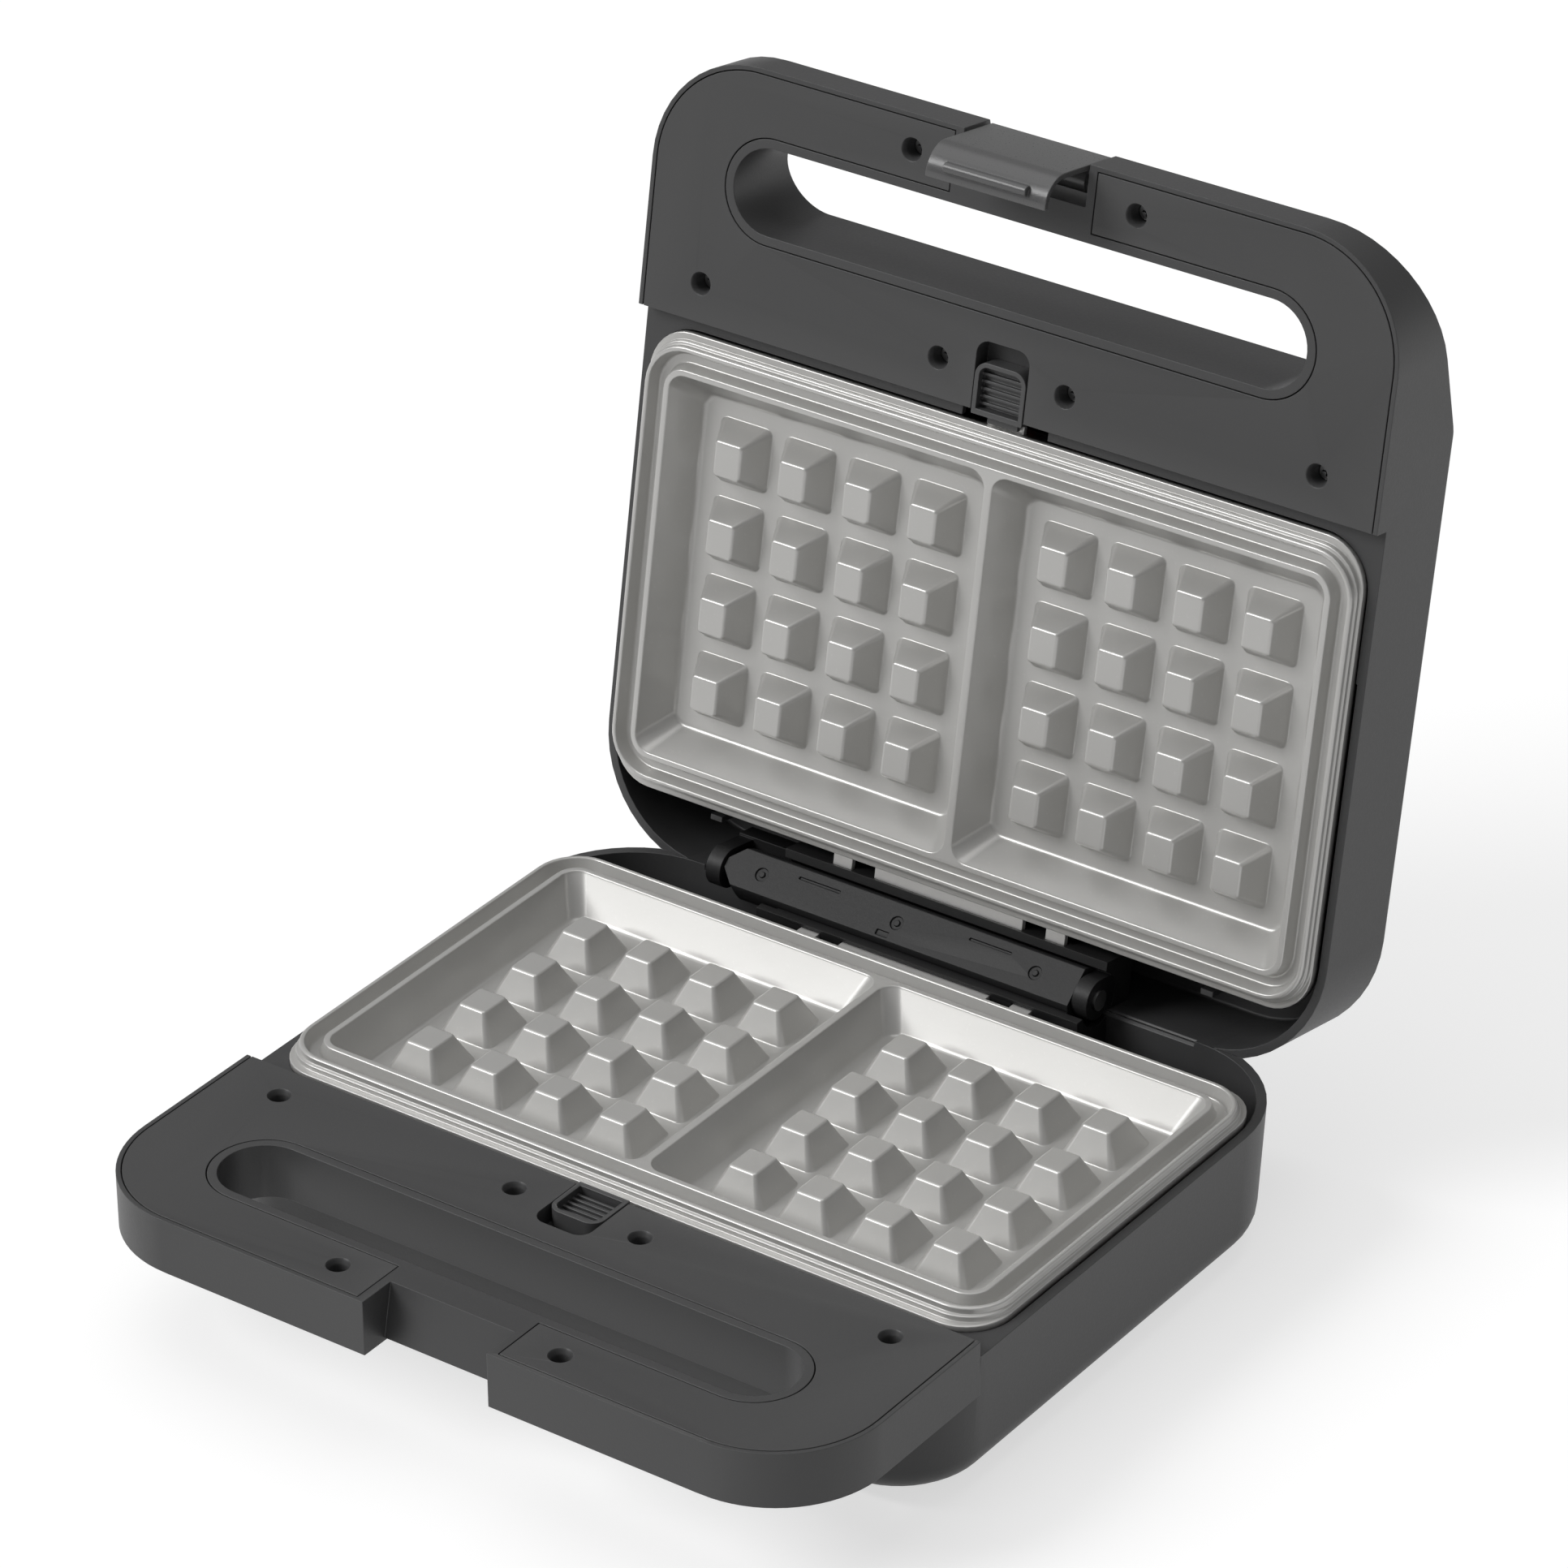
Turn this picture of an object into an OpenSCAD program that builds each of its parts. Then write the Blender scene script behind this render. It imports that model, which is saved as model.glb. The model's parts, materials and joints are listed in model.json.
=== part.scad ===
// Two-slice waffle maker, lid open. Units are millimetres.
// The origin is on the table, under the middle of the plates. +Y points to the hinge.
// Base and lid are drawn in one half frame: z = 0 is the plane where the two halves
// meet, and z falls into the half. The lid is that half mirrored and swung open.

/* [Body] */
// Width of the shells
body_w = 242; // [235:1:270]
// From the middle of the plates to the front face of the handles
handle_reach = 150; // [148:1:165]
// From the middle of the plates to the rear wall
rear_reach = 89; // [88:1:96]
// Depth of the base below the meeting plane
base_depth = 44.4; // [42:0.2:60]
// Depth of the lid shell from the meeting plane
lid_depth = 36.6; // [36:0.2:42]
// Wall of both shells
shell_wall = 2.6; // [2:0.1:2.8]
// Radius of the shells' two rear upright corners
rear_corner_r = 36; // [30:1:38]
// Radius of the handles' front corners
handle_corner_r = 33; // [30:1:34]
// Height of the rubber feet under the base
foot_h = 3.6; // [2:0.2:8]

/* [Handle] */
// Depth of the base's handle below the meeting plane
handle_t = 17.1; // [17:0.1:20]
// Depth of the lid's handle at its front edge
lid_handle_t = 13; // [13:0.1:16]
// Length of the finger slot
slot_w = 186; // [150:1:190]
// Width of the finger slot
slot_h = 24.8; // [20:0.2:26]
// Distance from the middle of the plates to the middle of the finger slot
slot_reach = 116; // [116:0.5:118]
// Thickness of the handle's inner cover
cover_t = 2.6; // [2:0.1:3]
// Width of the latch notch in the handles
notch_w = 40.4; // [36:0.2:44]

/* [Plates] */
// Width of each waffle plate over its outer ridge
plate_w = 232.6; // [228:0.2:233]
// Depth of each waffle plate over its outer ridge
plate_d = 130.2; // [128:0.2:131]
// Side to side distance between the studs
stud_pitch_x = 22; // [21:0.1:22.4]
// Front to back distance between the studs
stud_pitch_y = 23.5; // [22:0.1:23.8]
// Height of the studs above the cavity floor
stud_h = 8.7; // [7:0.1:10]
// How far the stud tops lie below the meeting plane
stud_sink = 2.6; // [2:0.1:4]

/* [Hinge] */
// Distance from the middle of the plates to the hinge axis
hinge_reach = 81.8; // [81:0.1:83]
// Angle that the lid is open, from closed
open_angle = 100.4; // [90:0.1:105]
// Radius of the hinge barrel
barrel_r = 7.5; // [6.5:0.1:8]
// Radius of the hinge pin
pin_r = 3; // [2.5:0.1:3.5]

/* [Latch] */
// Thickness of the latch sheet
latch_t = 1.6; // [1.2:0.1:2]
// Radius of the latch pin
latch_pin_r = 1.5; // [1.2:0.1:2]

/* [Buttons] */
// Width of the plate release buttons
button_w = 16.6; // [15:0.1:17]
// How far a release button slides
button_travel = 5; // [3:0.1:5]

/* [Hidden] */

$fn = 48;
part_h = base_depth + foot_h;
half_w = body_w / 2;
fit = 0.3;
seam = 0.3;
eps = 0.01;
big = 400;

// Shell landmarks
face_z = -0.5;
rim_z = -5.3;
body_front = 98;
body_corner_r = 28;
edge_r = 8;
lid_edge_r = 2;
draft = 1.8;
slope_start = 91.5;
cover_back = 73.3;
cover_inset = 1.7;
slot_rim = 3;
arm_x = 23.1;
arm_y = 131.7;
notch_back = 138.1;
notch_foot = 141.6;
notch_floor = 16.2;

// Plate landmarks
ridge_z = -0.15;
gutter_z = -4.1;
flange_z = -3.6;
plate_under = 7.4;
casting_z = -14.3;
ridge_t = 1.3;
gutter_w = 5.6;
wall_run_x = 5.8;
wall_run_y = 6.9;
block_gap = 2.6;
cavity_floor = -(stud_sink + stud_h);
stud_top_x = 8.8;
stud_top_y = 10.1;
stud_run = 4.2;

// Tray and heater landmarks
tray_x = 112;
tray_y = 62.5;
tray_z = -26;
heater_r = 3.2;
heater_z = casting_z - heater_r;

// Hinge landmarks
barrel_left = -70;
barrel_right = 49;
ear_t = 5;
bracket_x = 54.4;
bracket_y = 71.3;
bracket_z = 2.3;

// Height of the cord gland's middle
gland_z = -28;

// Latch landmarks
latch_w = 38.6;
latch_y = 143;
latch_z = -9;

// Screw places in the handle cover, right-hand side
cover_screws = [[100.7, -84.5], [20.7, -84.5], [36.3, -139.8]];

module in_base() { translate([0, 0, part_h]) children(); }

module in_lid() {
    translate([0, hinge_reach, part_h]) rotate([-open_angle, 0, 0])
        translate([0, -hinge_reach, 0]) mirror([0, 0, 1]) children();
}

module both_sides() {
    children();
    mirror([1, 0, 0]) children();
}

module along_x(length) {
    rotate([90, 0, 90]) linear_extrude(length, center = true) children();
}

// A disc with a round lower edge and a sloping side: one corner of a moulded slab
module corner_pad(r, e, top, bottom, d) {
    arc = [for (a = [0:15:90]) [r - d - e + e * cos(a), bottom + e - e * sin(a)]];
    rotate_extrude($fn = 48) polygon(concat([[0, top], [r, top]], arc, [[0, bottom]]));
}

// How far the base's drafted walls lean in at a height z: outer face and inner face
function lean_out(z) = draft * (rim_z - z) / (rim_z - edge_r + base_depth);
function lean_in(z) = draft * (1 - z) / (1 - edge_r + base_depth);

// A slab with round upright corners and a round lower edge
module slab(x, front, back, rf, rb, e, top, bottom, d) {
    hull() {
        for (s = [-1, 1]) {
            translate([s * (x - rf), -front + rf, 0]) corner_pad(rf, e, top, bottom, d);
            translate([s * (x - rb), back - rb, 0]) corner_pad(rb, e, top, bottom, d);
        }
    }
}

module round_rect(x, y, r) {
    for (s = [-1, 1], t = [-1, 1]) translate([s * (x - r), t * (y - r)]) circle(r);
    square([2 * x, 2 * (y - r)], center = true);
    square([2 * (x - r), 2 * y], center = true);
}

// A rectangular block with sloping sides and round corners
module tapered(x0, y0, r0, z0, x1, y1, r1, z1) {
    hull() {
        for (s = [-1, 1], t = [-1, 1]) {
            translate([s * (x0 - r0), t * (y0 - r0), z0]) cylinder(h = eps, r = r0, $fn = 32);
            translate([s * (x1 - r1), t * (y1 - r1), z1 - eps]) cylinder(h = eps, r = r1, $fn = 32);
        }
    }
}

module stadium(w, h) {
    r = h / 2;
    square([w - h, h], center = true);
    for (s = [-1, 1]) translate([s * (w / 2 - r), 0]) circle(r);
}

module slot_outline(grow) {
    translate([0, -slot_reach]) stadium(slot_w + 2 * grow, slot_h + 2 * grow);
}

// The handle's face, seen from above, inset from the shell's edge
module handle_outline(inset) {
    x = half_w - inset;
    r = handle_corner_r - inset;
    front = handle_reach - inset;
    intersection() {
        union() {
            for (s = [-1, 1]) translate([s * (x - r), -front + r]) circle(r);
            translate([-x, -front + r]) square([2 * x, front]);
            translate([-x + r, -front]) square([2 * (x - r), front]);
        }
        translate([-big / 2, -big - cover_back]) square(big);
    }
}

module button_pocket_outline(grow) {
    w = button_w / 2 + fit + grow;
    front = 93.3 + grow;
    r = 4;
    for (s = [-1, 1]) translate([s * (w - r), -front + r]) circle(r);
    translate([-w, -front + r]) square([2 * w, front - r - cover_back + 1 - grow]);
    translate([-w + r, -front]) square([2 * (w - r), 2 * r]);
}

// Outline of the C-shaped inner cover
module cover_outline(grow) {
    difference() {
        handle_outline(cover_inset - grow);
        slot_outline(slot_rim - grow);
        translate([-arm_x + grow, 1 - big - arm_y + grow]) square([2 * (arm_x - grow), big]);
    }
}

module on_hinge() {
    translate([0, hinge_reach, 0]) rotate([0, 90, 0]) children();
}

// The space behind the hinge that the other half needs when the lid is open
module open_wedge() {
    translate([0, hinge_reach, 0]) rotate([-open_angle / 2 - 0.4, 0, 0])
        translate([-big / 2, 0, 0]) cube([big, big / 2, big / 2]);
}

// The base: a flat handle on a body with a round front of its own
module base_blank() {
    slab(half_w, body_front, rear_reach, body_corner_r, rear_corner_r, edge_r, rim_z, -base_depth,
        draft);
    translate([0, 0, -handle_t]) linear_extrude(handle_t + face_z) handle_outline(0);
}

module base_hollow() {
    w = shell_wall;
    slab(half_w - w, body_front - w, rear_reach - w, body_corner_r - w, rear_corner_r - w,
        edge_r - w, 1, w - base_depth, draft);
    translate([0, 0, w - handle_t]) linear_extrude(handle_t - w) handle_outline(cover_inset + w);
}

// What the lid loses under its handle, where its outside slopes up to the front edge
module lid_slope(shift) {
    rise = (lid_depth - lid_handle_t) / (handle_reach - slope_start);
    far = handle_reach + 20;
    along_x(big) polygon([[-slope_start, shift - lid_depth],
        [-far, shift - lid_depth + rise * (far - slope_start)], [-far, -big], [-slope_start, -big]]);
}

// The lid: body and handle in one sweep
module lid_blank() {
    difference() {
        slab(half_w, handle_reach, rear_reach, handle_corner_r, rear_corner_r, lid_edge_r, face_z,
            -lid_depth, 0);
        translate([-big / 2, -cover_back, rim_z]) cube(big);
        lid_slope(0);
    }
}

module lid_hollow() {
    w = shell_wall;
    r = handle_corner_r - cover_inset - w;
    difference() {
        union() {
            slab(half_w - w, body_front - w, rear_reach - w, 10, rear_corner_r - w, 1, 1,
                w - lid_depth, 0);
            slab(half_w - cover_inset - w, handle_reach - cover_inset - w, 0, r, 10, 1,
                face_z - cover_t, w - lid_depth, 0);
        }
        lid_slope(w);
    }
}

// Room in a shell: the hollow less the slot's wall, the arm, the ledge under the cover and
// the wall behind the cover that parts the handle from the hot space
module shell_room(depth) {
    difference() {
        children();
        translate([0, 0, -big / 2]) linear_extrude(big) slot_outline(slot_rim);
        translate([-arm_x, 1 - big - arm_y, -big / 2]) cube([2 * arm_x, big, big]);
        translate([0, 0, face_z - cover_t]) linear_extrude(big / 2) cover_outline(-2.5);
        front_deck(depth);
    }
    translate([0, 0, face_z - cover_t]) linear_extrude(big / 2) cover_outline(seam);
}

// The deck that fills the space round the plate's front corners, and its wall
module front_deck(depth) {
    both_sides() {
        translate([14, -cover_back - 1, -depth]) cube([half_w - 15, 2, depth + rim_z]);
        translate([0, 0, rim_z - 2]) linear_extrude(2) difference() {
            translate([14, -cover_back - 1]) square([half_w - 15, 45]);
            round_rect(plate_w / 2 + 1.6, plate_d / 2 + 3.8, 15);
        }
    }
}

module cover_boss(p, depth) {
    top = face_z - cover_t - 6;
    translate([p[0], p[1], -depth]) cylinder(h = depth + top, r = 4.2);
}

module cover_boss_bore(p) {
    translate([p[0], p[1], face_z - cover_t - 6 - 5.7]) cylinder(h = 5.7 + eps, r = 1.5);
}

// A shell with its bosses and posts; its children are the blank and the hollow
module half_shell(depth) {
    difference() {
        union() {
            difference() {
                children(0);
                shell_room(depth) children(1);
            }
            intersection() {
                children(0);
                union() {
                    both_sides() for (p = cover_screws) cover_boss(p, depth);
                    tray_posts(depth);
                }
            }
        }
        translate([0, 0, -big / 2]) linear_extrude(big) slot_outline(0);
        both_sides() for (p = cover_screws) cover_boss_bore(p);
        open_wedge();
        on_hinge() cylinder(h = 2 * (78 + ear_t), r = barrel_r + 0.9, center = true);
    }
}

// Posts that carry the heater tray, and a rib behind each rear corner of the plate
module tray_posts(depth) {
    both_sides() {
        for (t = [-1, 1])
            translate([85, t * 42, -depth + 1]) cylinder(h = depth + tray_z - 1, r = 5);
        translate([81, 72, -depth + 1]) cube([4, 1.6, depth - 9.6]);
    }
}

module base_notch() {
    w = notch_w / 2;
    profile = [[-big, 5], [-notch_back, 5], [-notch_back, face_z], [-notch_foot, -notch_floor],
        [-arm_y, -notch_floor], [-arm_y, -60], [-big, -60]];
    along_x(2 * w) polygon(profile);
}

module lid_notch() {
    w = notch_w / 2;
    along_x(2 * w) polygon([[-big, 5], [-notch_back, 5], [-notch_back, -60], [-big, -60]]);
}

module base_shell() {
    color([0.13, 0.13, 0.135]) in_base() difference() {
        half_shell(base_depth) {
            base_blank();
            base_hollow();
        }
        base_notch();
        both_sides() for (t = [-68, 52])
            translate([78, t, -base_depth - 1]) cylinder(h = 2, r = 8.5);
        gland_place() cylinder(h = 20, r = 6.05, center = true);
        for (i = [-5:5]) translate([i * 9 - 1.5, -30, -base_depth - 1]) cube([3, 60, 5]);
    }
}

module lid_shell() {
    color([0.13, 0.13, 0.135]) in_lid() difference() {
        half_shell(lid_depth) {
            lid_blank();
            lid_hollow();
        }
        lid_notch();
        rotate([0, 90, 0]) translate([-latch_z, -latch_y, 0])
            cylinder(h = notch_w + 5, r = latch_pin_r, center = true);
        lens_places() cylinder(h = 10, r = 3, center = true);
    }
}

module handle_cover() {
    sleeve_h = 6;
    difference() {
        union() {
            translate([0, 0, face_z - cover_t]) linear_extrude(cover_t) difference() {
                cover_outline(0);
                button_pocket_outline(0);
            }
            both_sides() for (p = cover_screws)
                translate([p[0], p[1], face_z - cover_t - sleeve_h]) cylinder(h = sleeve_h, r = 4.2);
            // The walls and the floor of the button's pocket
            translate([0, 0, -7.8]) linear_extrude(7.8 + face_z - cover_t + eps) difference() {
                button_pocket_outline(1.6);
                button_pocket_outline(0);
            }
            translate([0, 0, -7.8]) linear_extrude(1.5) button_pocket_outline(1.6);
        }
        both_sides() for (p = cover_screws) translate([p[0], p[1], face_z]) {
            translate([0, 0, -2]) cylinder(h = 2 + eps, r1 = 2.5, r2 = 3.35);
            translate([0, 0, -cover_t - 4.5]) cylinder(h = 5.5, r = 2.5);
            translate([0, 0, -cover_t - 7]) cylinder(h = 5, r = 1.7);
        }
    }
}

module base_handle_cover() { color([0.15, 0.15, 0.155]) in_base() handle_cover(); }

module lid_handle_cover() { color([0.15, 0.15, 0.155]) in_lid() handle_cover(); }

module cover_screw_set() {
    seat = face_z - cover_t - 4.5;
    both_sides() for (p = cover_screws) translate([p[0], p[1], seat]) difference() {
        union() {
            cylinder(h = 1.8, r = 2.3);
            translate([0, 0, -6.6]) cylinder(h = 6.6, r = 1.5);
        }
        for (a = [0, 90]) rotate(a) translate([-1.4, -0.25, 0.9]) cube([2.8, 0.5, 2]);
    }
}

module base_handle_screws() { color([0.5, 0.5, 0.52]) in_base() cover_screw_set(); }

module lid_handle_screws() { color([0.5, 0.5, 0.52]) in_lid() cover_screw_set(); }

// Rows of ridges: where two crossed sets meet, they leave the studs
module stud_ridges(pitch, top, length) {
    z0 = cavity_floor - 1;
    run = stud_run * (stud_h + 1) / stud_h;
    for (i = [-1.5:1:1.5])
        translate([i * pitch, 0, 0]) rotate([90, 0, 0]) linear_extrude(length, center = true)
            polygon([[-top / 2 - run, z0], [-top / 2, -stud_sink], [top / 2, -stud_sink],
                [top / 2 + run, z0]]);
}

module studs() {
    intersection() {
        stud_ridges(stud_pitch_x, stud_top_x, 6 * stud_pitch_y);
        rotate(90) stud_ridges(stud_pitch_y, stud_top_y, 6 * stud_pitch_x);
    }
}

module waffle_plate() {
    x = plate_w / 2;
    y = plate_d / 2;
    gx = x - ridge_t;
    gy = y - ridge_t;
    ix = gx - gutter_w;
    iy = gy - gutter_w;
    cx = (ix - 1.6 - block_gap / 2) / 2;
    cy = iy - 1.6;
    cell_x = block_gap / 2 + cx;
    depth = -cavity_floor;
    difference() {
        union() {
            translate([0, 0, -plate_under]) linear_extrude(plate_under + ridge_z) round_rect(x, y, 12);
            translate([0, 0, -plate_under]) linear_extrude(plate_under - 2)
                round_rect(x + 0.5, y + 1.1, 12.6);
            translate([0, 0, -plate_under]) linear_extrude(plate_under + flange_z)
                round_rect(x + 1.1, y + 3.3, 14.4);
            translate([0, 0, casting_z]) linear_extrude(5 - casting_z - plate_under)
                intersection() {
                    round_rect(x - 6.6, y - 5.4, 8);
                    square(2 * x, center = true);
                }
            plate_lugs();
        }
        difference() {
            tapered(gx - 1.3, gy - 1.3, 9.4, gutter_z, gx, gy, 10.7, 0.1);
            tapered(ix + 1.3, iy + 1.3, 8.3, gutter_z - 1, ix, iy, 7, 0.2);
        }
        translate([0, 0, ridge_z]) linear_extrude(20) square(2 * big, center = true);
        both_sides() translate([cell_x, 0, 0])
            tapered(cx - wall_run_x, cy - wall_run_y, 3, cavity_floor, cx, cy, 6, 0);
    }
    both_sides() translate([cell_x, 0, 0]) intersection() {
        studs();
        translate([0, 0, -depth - 0.5]) linear_extrude(depth) square([2 * cx, 2 * cy], center = true);
    }
}

// The long rear lug and two small ones hook into the hinge bracket; the front lug is for the button
module plate_lugs() {
    rear = plate_d / 2 + 3;
    translate([-25, rear, -5.6]) cube([50, 5.5, 1.8]);
    both_sides() translate([32.7, rear, -5.6]) cube([6.4, 5.5, 1.8]);
    translate([-6, -rear - 2.6, -7.4]) cube([12, 3, 1.6]);
}

module base_plate() { color([0.62, 0.61, 0.6]) in_base() waffle_plate(); }

module lid_plate() { color([0.62, 0.61, 0.6]) in_lid() waffle_plate(); }

module heater_tray() {
    t = 1;
    difference() {
        translate([0, 0, tray_z]) linear_extrude(-plate_under - tray_z) round_rect(tray_x, tray_y, 10);
        translate([0, 0, tray_z + t]) linear_extrude(30) round_rect(tray_x - t, tray_y - t, 9);
        for (s = [-1, 1]) translate([s * 8, 38, tray_z - 1]) cylinder(h = 3, r = heater_r + 0.3);
    }
}

module base_heater_tray() { color([0.66, 0.66, 0.68]) in_base() heater_tray(); }

module lid_heater_tray() { color([0.66, 0.66, 0.68]) in_lid() heater_tray(); }

// One tube bent to a racetrack under the plate, with its two cold ends turned down
module heater_tube() {
    r = 38;
    run = 60;
    gap = 16;
    bend = 8;
    end_z = heater_z - bend;
    for (s = [-1, 1]) {
        translate([s * run, 0, heater_z]) rotate(s > 0 ? -90 : 90)
            rotate_extrude(angle = 180) translate([r, 0]) circle(heater_r);
        translate([s * gap, r, heater_z]) rotate([0, s * 90, 0]) cylinder(h = run - gap, r = heater_r);
        translate([s * gap, r, end_z]) rotate([90, 0, 0]) rotate(s > 0 ? 90 : 0)
            rotate_extrude(angle = 90) translate([bend, 0]) circle(heater_r);
        translate([s * (gap - bend), r, end_z - 5]) cylinder(h = 5, r = heater_r);
    }
    translate([-run, -r, heater_z]) rotate([0, 90, 0]) cylinder(h = 2 * run, r = heater_r);
}

module base_heater() { color([0.45, 0.43, 0.41]) in_base() heater_tube(); }

module lid_heater() { color([0.45, 0.43, 0.41]) in_lid() heater_tube(); }

module base_thermostat() {
    color([0.82, 0.78, 0.68]) in_base() translate([0, -8, casting_z - 7]) {
        cylinder(h = 7, r = 7.5);
        translate([0, 0, -2.5]) cylinder(h = 3, r = 4.5);
        translate([-11, -3, 6]) cube([22, 6, 1]);
    }
}

module lid_thermal_fuse() {
    color([0.8, 0.8, 0.78]) in_lid() {
        translate([-9, -8, casting_z - 2.2]) rotate([0, 90, 0]) cylinder(h = 18, r = 2.2);
        for (s = [-1, 1]) translate([s * 6 - 1.5, -11, tray_z + 1]) cube([3, 6, casting_z - 3 - tray_z]);
    }
}

// A trough behind the plate that holds the hinge, with sockets for the plate's rear lugs
module bracket_trough(gap) {
    back = rear_reach - shell_wall;
    lug = plate_d / 2 + 3;
    difference() {
        translate([-bracket_x, bracket_y, -16])
            cube([2 * bracket_x, back - bracket_y, 16 - bracket_z]);
        on_hinge() cylinder(h = 2 * barrel_right, r = barrel_r + gap, center = true);
        translate([barrel_right, 0, 0]) on_hinge() cylinder(h = 20, r = barrel_r + 0.6);
        translate([-barrel_right - 20, 0, 0]) on_hinge() cylinder(h = 20, r = barrel_r + 0.6);
        translate([-25.3, lug, -5.9]) cube([50.6, 5.8, 2.4]);
        both_sides() translate([32.4, lug, -5.9]) cube([7, 5.8, 2.4]);
        open_wedge();
    }
}

// The base's trough has a back that follows the drafted rear wall
module base_hinge_bracket() {
    back = rear_reach - shell_wall;
    color([0.2, 0.2, 0.2]) in_base() difference() {
        bracket_trough(0.1);
        along_x(big) polygon([[back - lean_in(-30), -30], [back, 1], [back + 20, 1], [back + 20, -30]]);
    }
}

module lid_hinge_bracket() {
    back = rear_reach - shell_wall;
    left = barrel_left - fit - ear_t;
    color([0.2, 0.2, 0.2]) in_lid() {
        bracket_trough(0.6);
        difference() {
            union() {
                difference() {
                    translate([left, 75, -16]) cube([-bracket_x - left + 0.5, back - 75, 6.5]);
                    on_hinge() cylinder(h = big, r = barrel_r + 0.6, center = true);
                }
                for (x = [left, barrel_right + fit]) {
                    translate([x, hinge_reach, 0]) rotate([0, 90, 0]) cylinder(h = ear_t, r = 6);
                    translate([x, hinge_reach - 6, -16]) cube([ear_t, back - hinge_reach + 6, 16]);
                }
            }
            open_wedge_behind();
            on_hinge() cylinder(h = big, r = pin_r + 0.05, center = true);
        }
    }
}

// The wedge again, without the round ears
module open_wedge_behind() {
    difference() {
        open_wedge();
        on_hinge() cylinder(h = big, r = 6, center = true);
    }
}

// The cover over the hinge: round, with a flat face between the plates, a pointed left end,
// three shallow round marks and three slots
module hinge_cover() {
    length = barrel_right - barrel_left;
    flat = barrel_r - 2.7;
    color([0.22, 0.22, 0.22]) translate([0, hinge_reach, part_h]) difference() {
        rotate([0, 90, 0]) translate([0, 0, barrel_left]) cylinder(h = length, r = barrel_r);
        rotate([0, 90, 0]) cylinder(h = big, r = pin_r + 0.05, center = true);
        rotate([90 - open_angle / 2, 0, 0]) {
            translate([-big / 2, -big / 2, flat]) cube([big, big, big]);
            translate([0, 0, -big / 2]) linear_extrude(big) difference() {
                translate([barrel_left - 1, -20]) square([8, 40]);
                polygon([[barrel_left, -1.5], [barrel_left + 6, -barrel_r], [barrel_left + 8, -barrel_r],
                    [barrel_left + 8, barrel_r], [barrel_left + 6, barrel_r], [barrel_left, 1.5]]);
            }
            for (x = [-57.6, -11.2, 35.3]) translate([x, 0, flat - 0.5]) difference() {
                cylinder(h = 2, r = 2);
                translate([0, 0, -1]) cylinder(h = 2, r = 0.9);
            }
            for (x = [-46, 12]) translate([x, 2.4, flat - 0.5]) cube([14, 0.8, 3]);
            translate([-16, -5, flat - 0.5]) cube([4, 1.6, 3]);
        }
    }
}

module hinge_pin() {
    color([0.7, 0.7, 0.7]) translate([barrel_left - ear_t - 1, hinge_reach, part_h]) rotate([0, 90, 0])
        cylinder(h = barrel_right - barrel_left + 2 * ear_t + 2, r = pin_r);
}

module rubber_feet() {
    color([0.08, 0.08, 0.08]) both_sides() for (t = [-68, 52])
        translate([78, t, 0]) cylinder(h = foot_h + 1, r = 8.5);
}

// In the middle of the drafted rear wall, square to it
module gland_place() {
    lean = (lean_out(gland_z) + lean_in(gland_z)) / 2;
    above = (lean_out(gland_z + 1) + lean_in(gland_z + 1)) / 2;
    translate([60, rear_reach - shell_wall / 2 - lean, gland_z])
        rotate([90 - atan(lean - above), 0, 0]) children();
}

module cord_gland() {
    color([0.07, 0.07, 0.07]) in_base() gland_place() difference() {
        union() {
            cylinder(h = shell_wall + 0.3, r = 6, center = true);
            for (s = [-1, 1]) translate([0, 0, s * (shell_wall / 2 + 1.35)])
                cylinder(h = 2.5, r = 8, center = true);
        }
        cylinder(h = 20, r = 3.2, center = true);
    }
}

module release_button() {
    w = button_w / 2;
    front = 87.3;
    back = 72.2;
    top = -0.3;
    r = 4;
    difference() {
        union() {
            translate([0, 0, -6]) linear_extrude(6 + top) {
                for (s = [-1, 1]) translate([s * (w - r), -front + r]) circle(r);
                translate([-w, -front + r]) square([2 * w, front - r - back]);
                translate([-w + r, -front]) square([2 * (w - r), 2 * r]);
            }
        }
        translate([0, 0, -3.4]) linear_extrude(10) {
            q = r - 1.4;
            for (s = [-1, 1]) translate([s * (w - r), -front + r]) circle(q);
            translate([-w + 1.4, -front + r]) square([2 * w - 2.8, front - r - back - 1.6]);
            translate([-w + r, -front + 1.4]) square([2 * (w - r), 2 * r]);
        }
    }
    for (i = [0:4]) translate([-w + 1, -front + 3.4 + i * 2.1, -3.5]) cube([2 * w - 2, 0.9, 1.2]);
    // The tongue that holds down the plate's front lug
    translate([-5, -back - 0.1, -5.4]) cube([10, 3, 1.5]);
}

module base_release_button() { color([0.16, 0.16, 0.165]) in_base() release_button(); }

module lid_release_button() { color([0.16, 0.16, 0.165]) in_lid() release_button(); }

module lens_places() {
    for (x = [-9, 9]) translate([x, -70, -lid_depth]) children();
}

module indicator_lenses() {
    color([0.8, 0.2, 0.1]) in_lid() lens_places() {
        cylinder(h = 6, r = 3, center = true);
        translate([0, 0, 2.8]) cylinder(h = 1.2, r = 4);
    }
}

// Side view of the latch sheet: flat down the handle's face, then a round bend to the hook
module latch_profile() {
    y0 = -149.4;
    r = 8.2;
    t = latch_t;
    z0 = 10.2;
    outer = [for (a = [180:-12:84]) [y0 + r + r * cos(a), z0 + r * sin(a)]];
    inner = [for (a = [84:12:180]) [y0 + r + (r - t) * cos(a), z0 + (r - t) * sin(a)]];
    polygon(concat([[y0, -12.7]], outer, inner, [[y0 + t, -12.7]]));
}

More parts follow.
